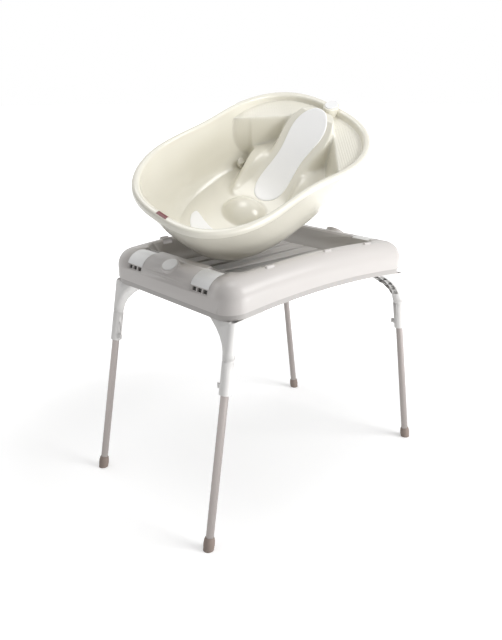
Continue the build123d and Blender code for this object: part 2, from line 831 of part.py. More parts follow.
# Soft pads lie on the back rest and on the floor at the foot end
pad_layer = recline(-pad_gap - pad_thick, seat_start, seat_end, arm_half)
pad_layer -= recline(-pad_gap, seat_start, seat_end, arm_half)
back_pad_plan = peanut(back_pad_start, back_pad_end, back_pad_half, back_pad_waist)
back_pad = pad_layer & upright(back_pad_plan, deep_z, tub_deep)
pad_low = tub_wall - tub_deep + pad_gap
floor_pad = Ellipse(floor_pad_half_len, floor_pad_half_wid)
floor_pad = Pos(floor_pad_x, 0, pad_low) * extrude(floor_pad, amount=pad_thick, taper=pad_draft_deg)
strip = (inside - hull(tub_wall + strip_thick)) & (
    Pos(-rim_half_len, 0, strip_z) * Box(4 * strip_wid, strip_wid, strip_high)
)
rim_badge = Ellipse(bridge_half_len - rim_badge_inset, bridge_half_wid - rim_badge_inset)
rim_badge = extrude(rim_badge, amount=badge_thick, taper=badge_draft_deg)
rim_badge = Pos(bridge_x, 0, bridge_top + pad_gap) * rim_badge

tip_axis = Axis(tip_point, tip_dir)
seat_z = well_floor + tub_deep + seat_gap


def tipped(shape):
    """The shape set on the stand, then tipped as shown."""
    return (Pos(tub_seat_x, 0, seat_z) * shape).rotate(tip_axis, tip_deg)


save(tipped(tub), "tub_shell")
save(tipped(plug), "drain_plug")
save(tipped(back_pad), "back_pad")
save(tipped(floor_pad), "floor_pad")
save(tipped(strip), "heat_strip")
save(tipped(rim_badge), "badge_rim")
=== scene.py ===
import json
import logging
import math
from dataclasses import dataclass, field
from enum import Enum

import bmesh
import bpy
import numpy as np
from mathutils import Matrix, Vector

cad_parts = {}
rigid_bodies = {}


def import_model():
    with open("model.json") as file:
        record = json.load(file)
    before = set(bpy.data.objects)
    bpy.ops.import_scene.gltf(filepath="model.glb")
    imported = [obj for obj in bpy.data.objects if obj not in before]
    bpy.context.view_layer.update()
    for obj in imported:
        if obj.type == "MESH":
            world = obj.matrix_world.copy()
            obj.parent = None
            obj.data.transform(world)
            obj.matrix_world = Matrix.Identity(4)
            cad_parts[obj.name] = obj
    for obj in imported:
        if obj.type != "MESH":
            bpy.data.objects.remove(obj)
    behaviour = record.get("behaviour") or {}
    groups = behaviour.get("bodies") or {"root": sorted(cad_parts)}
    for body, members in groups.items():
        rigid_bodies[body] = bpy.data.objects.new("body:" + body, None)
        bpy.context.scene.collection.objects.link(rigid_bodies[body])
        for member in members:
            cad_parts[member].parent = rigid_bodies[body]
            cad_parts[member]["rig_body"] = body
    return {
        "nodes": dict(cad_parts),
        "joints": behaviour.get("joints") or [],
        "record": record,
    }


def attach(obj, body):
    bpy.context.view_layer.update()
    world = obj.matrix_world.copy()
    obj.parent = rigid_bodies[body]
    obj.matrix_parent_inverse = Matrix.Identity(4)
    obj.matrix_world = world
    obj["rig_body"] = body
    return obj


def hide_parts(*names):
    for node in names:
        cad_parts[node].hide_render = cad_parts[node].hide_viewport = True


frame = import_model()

LOG = logging.getLogger("bath_stand")
Points = np.ndarray
Faces = list[tuple[int, ...]]
Triple = tuple[float, float, float]
Pair = tuple[float, float]
Quad = tuple[float, float, float, float]
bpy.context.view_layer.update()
ENDS = ((-1, "front"), (1, "back"))
SIDES = ((-1, "near"), (1, "far"))
WELD = 2e-5
SLIVER = 1e-6


class Grain(Enum):
    """Fine relief that a finish carries."""

    PEEL = "soft orange peel of a polished mould"
    SPARK = "spark-eroded matt grain"
    DRAWN = "fine lines drawn along a tube"


GRAIN_DETAIL = {Grain.PEEL: 2.0, Grain.SPARK: 6.0, Grain.DRAWN: 6.0}


def math_node(
    tree: bpy.types.NodeTree,
    kind: str,
    first: bpy.types.NodeSocket | float,
    second: bpy.types.NodeSocket | float = 0.0,
) -> bpy.types.NodeSocket:
    """Add one sum, product or test of two values to a node tree.

    Args:
        tree: node tree to add it to.
        kind: the operation.
        first: its first value, a number or a socket.
        second: its second value.

    Returns:
        The socket that carries the result.
    """
    node = tree.nodes.new("ShaderNodeMath")
    node.operation = kind
    for socket, value in zip(node.inputs, (first, second)):
        if isinstance(value, float):
            socket.default_value = value
        else:
            tree.links.new(value, socket)
    return node.outputs["Value"]


@dataclass(frozen=True)
class WellShade:
    """Painted shade of the deck's recessed well under the bath: a darker colour, and the space that it fills.
    """

    colour: Triple
    top: float = 0.8365
    fall: float = 0.1441
    half_len: float = 0.336
    half_wid: float = 0.256

    def mask(self, tree: bpy.types.NodeTree, place: bpy.types.Node) -> bpy.types.NodeSocket:
        """Mask of the painted well shade: 1 where a point lies under the arched top and inside the well's
        plan.

        Args:
            tree: node tree to add the nodes to.
            place: its texture coordinates.

        Returns:
            The socket that carries the mask.
        """
        axes = tree.nodes.new("ShaderNodeSeparateXYZ")
        tree.links.new(place.outputs["Object"], axes.inputs["Vector"])
        x, y, z = (axes.outputs[name] for name in "XYZ")
        drop = math_node(tree, "MULTIPLY", math_node(tree, "MULTIPLY", x, x), self.fall)
        under = math_node(tree, "GREATER_THAN", math_node(tree, "SUBTRACT", self.top, drop), z)
        along = math_node(tree, "LESS_THAN", math_node(tree, "ABSOLUTE", x), self.half_len)
        across = math_node(tree, "LESS_THAN", math_node(tree, "ABSOLUTE", y), self.half_wid)
        return math_node(tree, "MULTIPLY", under, math_node(tree, "MULTIPLY", along, across))


@dataclass(frozen=True)
class Finish:
    """One moulded, drawn or rubber finish, with its colour drift, gloss and relief."""

    name: str
    colour: Triple
    drift: Triple
    roughness: float
    grain: Grain = Grain.PEEL
    grain_size: float = 0.0016
    relief: float = 0.05
    coat: float = 0.0
    metallic: float = 0.0
    # painted shade over the deck's recessed well, where set
    well_shade: WellShade | None = None
    coat_roughness: float = 0.12
    drift_scale: float = 5.0
    drift_detail: float = 3.0
    gloss_scale: float = 38.0
    gloss_span: Pair = (0.85, 1.2)
    draw_out: float = 0.02
    relief_deep: float = 0.0005

    def material(self) -> bpy.types.Material:
        """Build the node material once and hand back the same one afterwards.

        Returns:
            The Blender material of this finish.
        """
        found = bpy.data.materials.get(self.name)
        if found:
            return found
        made = bpy.data.materials.new(self.name)
        made.use_nodes = True
        tree = made.node_tree
        shader = tree.nodes["Principled BSDF"]
        shader.inputs["Metallic"].default_value = self.metallic
        shader.inputs["Coat Weight"].default_value = self.coat
        shader.inputs["Coat Roughness"].default_value = self.coat_roughness
        place = tree.nodes.new("ShaderNodeTexCoord")
        self._colour(tree, place, shader)
        self._gloss(tree, place, shader)
        self._relief(tree, place, shader)
        return made

    def _colour(self, tree: bpy.types.NodeTree, place: bpy.types.Node, shader: bpy.types.Node) -> None:
        """Slow cloud between the colour and its drift, as pigment varies in a moulding; where a well shade is
        set, painted shade darkens the deck's recessed well on top.

        Args:
            tree: node tree of the material.
            place: its texture coordinates.
            shader: its shader.
        """
        cloud = tree.nodes.new("ShaderNodeTexNoise")
        cloud.inputs["Scale"].default_value = self.drift_scale
        cloud.inputs["Detail"].default_value = self.drift_detail
        blend = tree.nodes.new("ShaderNodeMix")
        blend.data_type = "RGBA"
        blend.inputs["A"].default_value = (*self.colour, 1)
        blend.inputs["B"].default_value = (*self.drift, 1)
        tree.links.new(place.outputs["Object"], cloud.inputs["Vector"])
        tree.links.new(cloud.outputs["Fac"], blend.inputs["Factor"])
        colour = blend.outputs["Result"]
        # painted shade: the well's darker colour laid over the deck by its mask
        if self.well_shade:
            inset = tree.nodes.new("ShaderNodeMix")
            inset.data_type = "RGBA"
            inset.inputs["B"].default_value = (*self.well_shade.colour, 1)
            tree.links.new(self.well_shade.mask(tree, place), inset.inputs["Factor"])
            tree.links.new(colour, inset.inputs["A"])
            colour = inset.outputs["Result"]
        tree.links.new(colour, shader.inputs["Base Color"])

    def _gloss(self, tree: bpy.types.NodeTree, place: bpy.types.Node, shader: bpy.types.Node) -> None:
        """Roughness that wanders a little, so that reflections break up.

        Args:
            tree: node tree of the material.
            place: its texture coordinates.
            shader: its shader.
        """
        cloud = tree.nodes.new("ShaderNodeTexNoise")
        cloud.inputs["Scale"].default_value = self.gloss_scale
        span = tree.nodes.new("ShaderNodeMapRange")
        low, high = self.gloss_span
        span.inputs["To Min"].default_value = self.roughness * low
        span.inputs["To Max"].default_value = min(self.roughness * high, 1.0)
        tree.links.new(place.outputs["Object"], cloud.inputs["Vector"])
        tree.links.new(cloud.outputs["Fac"], span.inputs["Value"])
        tree.links.new(span.outputs["Result"], shader.inputs["Roughness"])

    def _relief(self, tree: bpy.types.NodeTree, place: bpy.types.Node, shader: bpy.types.Node) -> None:
        """Bump of the grain: noise for mouldings and rubber, noise drawn out along z for tubes.

        Args:
            tree: node tree of the material.
            place: its texture coordinates.
            shader: its shader.
        """
        turn = tree.nodes.new("ShaderNodeMapping")
        if self.grain is Grain.DRAWN:
            turn.inputs["Scale"].default_value = (1.0, 1.0, self.draw_out)
        source = tree.nodes.new("ShaderNodeTexNoise")
        source.inputs["Detail"].default_value = GRAIN_DETAIL[self.grain]
        source.inputs["Scale"].default_value = 1.0 / self.grain_size
        bump = tree.nodes.new("ShaderNodeBump")
        bump.inputs["Strength"].default_value = self.relief
        bump.inputs["Distance"].default_value = self.relief_deep
        tree.links.new(place.outputs["Object"], turn.inputs["Vector"])
        tree.links.new(turn.outputs["Vector"], source.inputs["Vector"])
        tree.links.new(source.outputs["Fac"], bump.inputs["Height"])
        tree.links.new(bump.outputs["Normal"], shader.inputs["Normal"])


IVORY = Finish("ivory_gloss", (0.79, 0.765, 0.675), (0.77, 0.745, 0.65), 0.2, relief=0.03, coat=0.35)
# painted shade in the deck's recessed well, under the bath
DECK_WELL_SHADE = WellShade((0.46, 0.44, 0.42))
SHELL = Finish("warm_white_satin", (0.585, 0.557, 0.538), (0.557, 0.53, 0.512), 0.34, well_shade=DECK_WELL_SHADE)
# skirt band under the parting line: the deck's own colour with painted shade, darker than the shell
SKIRT_SHADED = Finish("skirt_painted_shade", (0.44, 0.42, 0.405), (0.42, 0.40, 0.386), 0.34)
WHITE = Finish("white_satin", (0.80, 0.79, 0.775), (0.78, 0.765, 0.75), 0.32)
CLIP_WHITE = Finish("clip_gloss_white", (0.86, 0.86, 0.86), (0.84, 0.84, 0.84), 0.24, relief=0.03)
TUBE = Finish(
    "drawn_tube", (0.40, 0.365, 0.35), (0.37, 0.335, 0.32), 0.3, Grain.DRAWN, 0.0009, 0.06, metallic=0.5
)
RUBBER = Finish("foot_rubber", (0.28, 0.225, 0.195), (0.25, 0.20, 0.175), 0.62, Grain.SPARK, 0.0011, 0.25)
PAD = Finish("soft_pad_white", (0.95, 0.95, 0.95), (0.93, 0.93, 0.935), 0.5, Grain.SPARK, 0.0012, 0.12)
STRIP = Finish("dark_red_strip", (0.17, 0.012, 0.015), (0.13, 0.01, 0.012), 0.3)
# painted shade: a near-black sheet that stands for the shade seen through the clip windows
SHADE = Finish("painted_window_shade", (0.045, 0.043, 0.04), (0.035, 0.033, 0.03), 0.6, Grain.SPARK, 0.001, 0.1)
STEEL = Finish(
    "zinc_screw", (0.55, 0.55, 0.55), (0.5, 0.5, 0.51), 0.35, Grain.SPARK, 0.0006, 0.1, metallic=1.0
)


def closed_rings(rings: Points) -> tuple[Points, Faces]:
    """Closed skin over rings of points: quads between neighbours, and a fan to a middle point at both ends.

    Args:
        rings: points by ring and by place round the ring.

    Returns:
        The points, with the two middle points last, and the vertex numbers of each face.
    """
    count, around = rings.shape[:2]
    i = np.arange(count - 1)[:, None] * around
    j = np.arange(around)[None, :]
    k = (j + 1) % around
    quads = np.stack([i + j, i + around + j, i + around + k, i + k], -1).reshape(-1, 4)
    here = np.arange(around)
    after = (here + 1) % around
    last = (count - 1) * around
    pole = np.full(around, count * around)
    first_fan = np.stack([pole, here, after], -1)
    last_fan = np.stack([pole + 1, last + after, last + here], -1)
    faces = [tuple(face) for part in (quads, first_fan, last_fan) for face in part.tolist()]
    middles = np.array([rings[0].mean(0), rings[-1].mean(0)])
    return np.concatenate([rings.reshape(-1, 3), middles]), faces


def shade_smooth(mesh: bpy.types.Mesh, sharp_deg: float) -> None:
    """Shade a mesh smooth, with edges that turn more than the angle kept crisp."""
    mesh.polygons.foreach_set("use_smooth", np.ones(len(mesh.polygons), bool))
    mesh.set_sharp_from_angle(angle=math.radians(sharp_deg))


def placed(name: str, mesh: bpy.types.Mesh) -> bpy.types.Object:
    """Put a mesh into the scene as an object at the origin.

    Args:
        name: name of the piece.
        mesh: its mesh.

    Returns:
        The linked object.
    """
    piece = bpy.data.objects.new(name, mesh)
    bpy.context.scene.collection.objects.link(piece)
    return piece


def piece_from(name: str, points: Points, faces: Faces, sharp_deg: float = 40.0) -> bpy.types.Object:
    """Make a smooth-shaded mesh object at the origin.

    Args:
        name: name of the piece.
        points: one row of x, y, z for each vertex, metres.
        faces: vertex numbers of each face.
        sharp_deg: edges that turn more than this stay crisp.

    Returns:
        The linked object.
    """
    mesh = bpy.data.meshes.new(name)
    mesh.from_pydata(points.tolist(), [], faces)
    mesh.validate()
    shape = bmesh.new()
    shape.from_mesh(mesh)
    bmesh.ops.recalc_face_normals(shape, faces=shape.faces[:])
    shape.to_mesh(mesh)
    shape.free()
    shade_smooth(mesh, sharp_deg)
    return placed(name, mesh)


def smoothed_copy(node: str, sharp_deg: float = 32.0) -> bpy.types.Object:
    """Copy a CAD node with its triangles joined, shaded smooth across its rounded faces.

    Args:
        node: the CAD node.
        sharp_deg: edges that turn more than this stay crisp.

    Returns:
        The linked copy, at the origin.
    """
    name = f"{node}_skin"
    mesh = frame["nodes"][node].data.copy()
    mesh.name = name
    shape = bmesh.new()
    shape.from_mesh(mesh)
    bmesh.ops.remove_doubles(shape, verts=shape.verts[:], dist=WELD)
    bmesh.ops.dissolve_degenerate(shape, edges=shape.edges[:], dist=SLIVER)
    shape.to_mesh(mesh)
    shape.free()
    shade_smooth(mesh, sharp_deg)
    return placed(name, mesh)


def dress(piece: bpy.types.Object, finish: Finish, slot: str, body: str, *nodes: str) -> None:
    """Give a finished piece its material and body, hide the nodes it stands for, and report it.

    Args:
        piece: the object to dress.
        finish: its finish.
        slot: the record's material slot; not used.
        body: the body it rides on.
        *nodes: CAD nodes that it replaces.
    """
    piece.data.materials.clear()
    piece.data.materials.append(finish.material())
    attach(piece, body)
    if nodes:
        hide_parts(*nodes)
    LOG.info("%s: %d faces on %s", piece.name, len(piece.data.polygons), body)


def step(value: Points, soft: float) -> Points:
    """Smooth rise from 0 to 1 as the value passes from minus soft to plus soft."""
    t = np.clip(value / (2 * soft) + 0.5, 0, 1)
    return t * t * (3 - 2 * t)


def smooth_max(a: Points, b: Points, soft: float) -> Points:
    """Larger of two heights, rounded over a band of the given softness."""
    gap = np.clip(0.5 + 0.5 * (a - b) / soft, 0, 1)
    return b + (a - b) * gap + soft * gap * (1 - gap)


def cubic_through(at: Points, knots: Points, values: Points) -> Points:
    """Smooth line through knots: cubic pieces whose slopes are the mean of the chords beside them.

    Args:
        at: where to read the line.
        knots: places of the knots, rising.
        values: heights of the knots.

    Returns:
        The line's height at each place.
    """
    slope = np.gradient(values, knots)
    i = np.clip(np.searchsorted(knots, at) - 1, 0, len(knots) - 2)
    h = knots[i + 1] - knots[i]
    t = (at - knots[i]) / h
    a = (1 + 2 * t) * (1 - t) ** 2 * values[i] + t * (1 - t) ** 2 * h * slope[i]
    b = t * t * (3 - 2 * t) * values[i + 1] + t * t * (t - 1) * h * slope[i + 1]
    return a + b


def quarter_round(radius: float, count: int) -> tuple[Points, Points]:
    """Rounded edge as a quarter circle: how far each row is drawn in, and how far it lies below the top.

    Args:
        radius: radius of the edge.
        count: number of rows.

    Returns:
        The insets and the heights, one row each.
    """
    turn = np.linspace(0, np.pi / 2, count)[:, None]
    return radius * (1 - np.cos(turn)), radius * (np.sin(turn) - 1)


@dataclass
class Bath:
    """The moulded bath: hull, rolled lip, basin, arm rests, trays, recliner and pads.

    Sizes are in metres. A group of sizes is taken apart by name where it is used.
    """

    half_len: float = 0.465
    half_wid: float = 0.276
    power: float = 2.7
    taper: float = 0.077
    wave: Triple = (-0.0409, 0.0139, 0.0102)
    crest: Triple = (0.0247, -0.175, 0.677)
    waist: Triple = (0.118, -0.058, 0.448)
    waist_fade: Pair = (-0.115, 0.085)
    wall: float = 0.0035
    deep: float = 0.235
    hull_z: tuple[float, ...] = (-0.235, -0.200, -0.140, -0.060, 0.060)
    hull_foot: tuple[float, ...] = (-0.262, -0.318, -0.374, -0.428, -0.452)
    hull_head: tuple[float, ...] = (0.202, 0.272, 0.356, 0.424, 0.452)
    hull_half: tuple[float, ...] = (0.156, 0.198, 0.230, 0.252, 0.263)
    hull_top: float = -0.005
    hull_rings: int = 36
    under_rings: int = 9
    under_edge: float = 0.985
    floor_low: float = -0.211
    wall_top: float = -0.009
    wall_pace: float = 1.1
    wall_rings: int = 92
    basin_rings: int = 72
    basin_ease: int = 8
    core: float = 0.02
    form_top: float = 0.016
    form_soft: float = 0.007
    form_fade: float = 0.02
    lip_ease: float = 0.3
    arm_z: float = -0.126
    arm_x: float = 0.010
    arm_soft: Pair = (0.024, 0.017)
    arm_half: float = 0.112
    arm_flare: float = 0.30
    arm_spread: Triple = (0.14, 0.215, 0.030)
    arm_dip: Triple = (0.066, 0.085, 0.085)
    arm_slope: Triple = (0.30, 0.105, 0.12)
    tray_z: float = -0.038
    tray_x: float = 0.205
    tray_slant: Triple = (1.2, 0.180, 0.020)
    dot_pitch: float = 0.013
    dot_high: float = 0.0020
    seat_low: float = -0.205
    seat_x: float = 0.068
    seat_bend: float = 0.025
    seat_half: Quad = (0.092, 0.010, 0.300, 0.041)
    seat_close: Triple = (0.999, 0.275, 0.122)
    seat_span: Pair = (-0.004, 0.388)
    seat_soft: Triple = (0.014, 0.020, 0.014)
    back_slope: float = 0.745
    ridge_z: float = 0.014
    pommel_high: float = 0.047
    pommel_x: float = -0.045
    pommel_half: Pair = (0.080, 0.086)
    pommel_soft: float = 0.012
    pommel_dome: float = 0.8
    pad_thick: float = 0.003
    pad_gap: float = 0.0004
    pad_sink: float = -0.1
    pad_edge: float = 0.06
    pad_core: float = 0.03
    pad_shoulder: Pair = (0.9, 0.92)
    pad_rings: tuple[int, int, int] = (34, 8, 24)
    pad_around: int = 160
    back_pad_x: float = 0.199
    back_pad_len: float = 0.165
    back_pad_half: Quad = (0.056, 0.006, 0.310, 0.037)
    back_pad_head: Triple = (0.007, 0.26, 0.06)
    foot_pad_wid: float = 0.130
    foot_pad_x: Pair = (-0.226, -0.215)
    foot_pad_bend: float = 3.3
    foot_pad_half: float = 0.037
    foot_pad_power: float = 0.7
    boss_x: float = 0.430
    boss_half: Pair = (0.035, 0.027)
    boss_round: float = 0.006
    boss_top: float = 0.002
    boss_foot: tuple[Pair, Pair] = ((0.003, -0.042), (0.0015, -0.020))
    boss_flat: float = 0.018
    boss_rows: int = 9
    boss_around: int = 96
    strip_span: Pair = (0.009, -0.030)
    strip_half: float = 0.255
    strip_points: int = 28
    strip_rows: tuple[int, int] = (1, 7)
    strip_skins: Pair = (0.0006, 0.0009)
    around: int = 400
    seat_at: Triple = (0.0136, 0.0, 1.0103)
    place: Matrix = field(default_factory=Matrix)

    def __post_init__(self) -> None:
        """Find the tipped pose from the hinge that carries the bath."""
        hinge = next(j for j in frame["joints"] if j["name"] == "tub_tip")
        at = Vector(hinge["pos_m"])
        turn = Matrix.Rotation(-math.radians(hinge["range_deg"][0]), 4, Vector(hinge["axis"]))
        tip = Matrix.Translation(at) @ turn @ Matrix.Translation(-at)
        self.place = tip @ Matrix.Translation(self.seat_at)

    def put(self, points: Points) -> Points:
        """Carry points from the bath's own level frame to the tipped pose."""
        m = np.array(self.place)
        return points @ m[:3, :3].T + m[:3, 3]

    def closed_piece(self, name: str, rings: Points, sharp_deg: float = 40.0) -> bpy.types.Object:
        """Make a closed piece from rings in the bath's own frame.

        Args:
            name: name of the piece.
            rings: points by ring and by place round the ring.
            sharp_deg: edges that turn more than this stay crisp.

        Returns:
            The linked object.
        """
        points, faces = closed_rings(rings)
        return piece_from(name, self.put(points), faces, sharp_deg)

    def rim_z(self, x: Points) -> Points:
        """Height of the rim wave: a cubic in x over the half length, with a low bell at the waist.

        Args:
            x: places along the bath.

        Returns:
            The rim's height at each place.
        """
        u = x / self.half_len
        high, middle, spread = self.crest
        bell = high * np.exp(-(((u - middle) / spread) ** 2))
        return self.wave[0] * u + self.wave[1] * u**2 + self.wave[2] * u**3 + bell

    def oval(
        self, foot: Points, head: Points, half: Points, waisted: Points, turn: Points
    ) -> tuple[Points, Points]:
        """Ring outline: cosine and sine raised to a power below one, wider at the head, slim at the waist.

        Args:
            foot: x of the foot end, one for each ring.
            head: x of the head end.
            half: half width.
            waisted: share of the waist that each ring takes.
            turn: angles round the bath.

        Returns:
            x and y, one row for each ring.
        """
        c, s = np.cos(turn), np.sin(turn)
        px = np.sign(c) * np.abs(c) ** (2 / self.power)
        py = np.sign(s) * np.abs(s) ** (2 / self.power) * (1 + self.taper * c)
        foot, head, half, waisted = (np.atleast_1d(v)[:, None] for v in (foot, head, half, waisted))
        x = (foot + head) / 2 + (head - foot) / 2 * px
        drawn, middle, spread = self.waist
        slim = 1 - waisted * drawn * np.exp(-(((x / self.half_len - middle) / spread) ** 2))
        return x, half * py * slim

    def hull(self, z: Points, inset: float, turn: Points) -> tuple[Points, Points]:
        """Outline of the hull: an oval whose ends and half width are smooth lines over the height.

        Args:
            z: height of each ring.
            inset: how far the rings are drawn in.
            turn: angles round the bath.

        Returns:
            x and y, one row for each ring.
        """
        knots = np.array(self.hull_z)
        foot = cubic_through(z, knots, np.array(self.hull_foot)) + inset
        head = cubic_through(z, knots, np.array(self.hull_head)) - inset
        half = cubic_through(z, knots, np.array(self.hull_half)) - inset
        middle, soft = self.waist_fade
        return self.oval(foot, head, half, step(z - middle, soft), turn)

    def arm_rest(self, x: Points, a: Points) -> tuple[Points, Points]:
        """Arm rests: smooth steps at the front and along flared flanks, with a top that dips and slopes.

        Args:
            x: places along the bath.
            a: distances from its middle line.

        Returns:
            The share of the arm rest at each point, and its height there.
        """
        wide, wide_x, wide_soft = self.arm_spread
        flank = self.arm_half + self.arm_flare * np.clip(x, 0, None) + wide * step(x - wide_x, wide_soft)
        share = step(x - self.arm_x, self.arm_soft[0]) * step(flank - a, self.arm_soft[1])
        dip, dip_x, dip_soft = self.arm_dip
        slope, slope_from, slope_wid = self.arm_slope
        top = self.arm_z - dip * (1 - step(x - dip_x, dip_soft))
        return share, top - slope * np.clip(a - slope_from, 0, slope_wid)

    def recliner(self, x: Points, a: Points) -> tuple[Points, Points]:
        """Recliner: a waisted plan closed round at the head, and a line that bends from seat to back.

        Args:
            x: places along the bath.
            a: distances from its middle line.

        Returns:
            The share of the recliner at each point, and its height there.
        """
        mean, swell, swell_x, swell_len = self.seat_half
        half = mean + swell * np.cos((x - swell_x) / swell_len)
        full, close_x, close_len = self.seat_close
        half = half * np.sqrt(1 - full * np.clip((x - close_x) / close_len, 0, 1) ** 2)
        side, front, back = self.seat_soft
        share = step(half - a, side) * step(x - self.seat_span[0], front) * step(self.seat_span[1] - x, back)
        bend = self.seat_bend
        line = self.seat_low + self.back_slope * bend * np.log1p(np.exp((x - self.seat_x) / bend))
        return share, np.minimum(line, self.ridge_z)

    def floor_z(self, x: Points, y: Points) -> Points:
        """Moulded inside: flat basin, raised by smooth steps to arm rests, dotted trays, recliner and pommel.

        Args:
            x: places along the bath.
            y: places across it.

        Returns:
            The height of the moulding at each point.
        """
        a = np.abs(y)
        z = np.full_like(x, self.floor_low)
        arm, arm_top = self.arm_rest(x, a)
        z = z + (arm_top - z) * arm
        slant, slant_y, tray_soft = self.tray_slant
        tray = step(x - (self.tray_x + slant * (slant_y - a)), tray_soft)
        z = z + (self.tray_z - z) * tray
        waves = np.cos(x * 2 * np.pi / self.dot_pitch) * np.cos(y * 2 * np.pi / self.dot_pitch)
        seat, seat_top = self.recliner(x, a)
        z = z + self.dot_high * np.maximum(0, waves) ** 2 * tray * (1 - seat)
        z = z + (seat_top - z) * seat
        long, wide = self.pommel_half
        away = np.clip(((x - self.pommel_x) / long) ** 2 + (y / wide) ** 2, 0, 1)
        soft = self.pommel_soft
        dome = self.floor_low - soft + (self.pommel_high + soft) * (1 - away) ** self.pommel_dome
        return smooth_max(z, dome, soft)

    def inner_wall(self, share: Points, turn: Points) -> tuple[Points, Points, Points, Points]:
        """Bare inside wall between the floor and the lip, its heights stretched to follow the rim wave.

        Args:
            share: 0 at the floor to 1 under the lip, one for each ring.
            turn: angles round the bath.

        Returns:
            x, y and z of the rings, and the rim's height above each point of the last ring.
        """
        low_z, top_z = self.floor_low, self.wall_top
        wall_z = low_z + (top_z - low_z) * share
        x, y = self.hull(wall_z, self.wall, turn)
        edge, _ = self.hull(np.array([top_z]), self.wall, turn)
        crest = self.rim_z(edge)
        return x, y, low_z + (wall_z[:, None] - low_z) * (crest + top_z - low_z) / (top_z - low_z), crest

    def shell(self) -> None:
        """One closed skin: basin, inner wall, rolled lip, outer hull and bottom, as rings round the bath."""
        share = np.linspace(0, 1, self.wall_rings)
        turn = np.linspace(0, 2 * np.pi, self.around, endpoint=False)
        ix, iy, level, crest = self.inner_wall(share**self.wall_pace, turn)
        mid = (self.hull_foot[0] + self.hull_head[0]) / 2
        fill = np.linspace(self.core, 1, self.basin_rings)[:-1, None]
        bx, by = mid + (ix[:1] - mid) * fill, iy[:1] * fill
        basin = self.floor_z(bx, by)
        forms = np.minimum(self.floor_z(ix, iy), crest + self.form_top)
        walls = smooth_max(level, forms, self.form_soft)
        walls = level + (walls - level) * step(1 - share[:, None] - self.form_fade, self.form_fade)
        basin += (walls[0] - self.floor_z(ix[:1], iy[:1])) * fill**self.basin_ease
        rolled = self.lip(np.stack([ix[-1], iy[-1], walls[-1]], -1), turn)
        down = np.linspace(0, 1, self.hull_rings)
        out_z = self.hull_top + (-self.hull_top - self.deep) * down
        ox, oy = self.hull(out_z, 0.0, turn)
        oz = out_z[:, None] + (1 - down[:, None]) * self.rim_z(ox[:1])
        shrink = np.linspace(self.under_edge, self.core, self.under_rings)[:, None]
        ux, uy = mid + (ox[-1:] - mid) * shrink, oy[-1:] * shrink
        bottom = np.full_like(ux, -self.deep)
        parts = [(bx, by, basin), (ix, iy, walls), rolled, (ox, oy, oz), (ux, uy, bottom)]
        rings = np.concatenate([np.stack(part, -1) for part in parts])
        dress(self.closed_piece("bath_shell", rings, 60), IVORY, "tub", "tub", "tub_shell")

    def lip(self, start: Points, turn: Points) -> tuple[Points, Points, Points]:
        """Rolled lip: from the wall's top edge over the crest to the rim oval, down a skirt and up behind it.

        Args:
            start: ring at the top of the inner wall.
            turn: angles of its points round the bath.

        Returns:
            x, y and z of its rings.
        """
        over = np.array([0.03, 0.09, 0.18, 0.30, 0.45, 0.60, 0.73, 0.83, 0.91, 0.96, 0.99, 1, 1, 1, 1])
        rise = -0.001 * np.array([6.2, 3.7, 1.7, 0.5, 0, 0.1, 0.6, 1.6, 3.2, 5.2, 7.6, 10, 14, 18, 22])
        behind = 0.001 * np.array([0.5, 1.7, 2.7, 3.2, 3.2, 3.2, 6.0, 12.0, 15.5])
        back = -0.001 * np.array([23.5, 24.0, 23.4, 22.0, 14.0, 5.2, 4.2, 4.2, 4.2])
        rx, ry = self.oval(-self.half_len, self.half_len, self.half_wid, 1.0, turn)
        x = start[:, 0] + (rx - start[:, 0]) * over[:, None]
        y = start[:, 1] + (ry - start[:, 1]) * over[:, None]
        crest = self.rim_z(rx)
        z = crest + rise[:, None]
        z = z + (start[:, 2] - crest - self.wall_top) * (1 - np.clip(over / self.lip_ease, 0, 1))[:, None]
        all_of = np.ones(len(behind))
        ends = behind - self.half_len
        kx, ky = self.oval(ends, -ends, self.half_wid - behind, all_of, turn)
        kz = self.rim_z(kx) + back[:, None]
        return np.concatenate([x, kx]), np.concatenate([y, ky]), np.concatenate([z, kz])

    def pad(self, name: str, node: str, outline: Points, middle: Pair) -> None:
        """Thin soft pad: rings drawn in towards its middle, lying on the moulded inside with a rounded edge.

        Args:
            name: name of the piece.
            node: the CAD node that it replaces.
            outline: x and y round the edge.
            middle: point that the rings close on.
        """
        inner, outer = self.pad_shoulder
        flat, rounded, below = self.pad_rings
        top = np.concatenate([np.linspace(self.pad_core, inner, flat), np.linspace(outer, 1.0, rounded)])
        under = np.linspace(1.0, self.pad_core, below)
        edge = np.clip((1 - top) / self.pad_edge, 0, 1)
        share = np.concatenate([top, under])
        crown = np.concatenate([np.sqrt(1 - (1 - edge) ** 2), np.full(len(under), self.pad_sink)])
        mid = np.array(middle)
        xy = mid + (outline[None] - mid) * share[:, None, None]
        z = self.floor_z(xy[..., 0], xy[..., 1]) + self.pad_gap + self.pad_thick * crown[:, None]
        mat = self.closed_piece(name, np.concatenate([xy, z[..., None]], -1), 60)
        dress(mat, PAD, "pad", "tub", node)

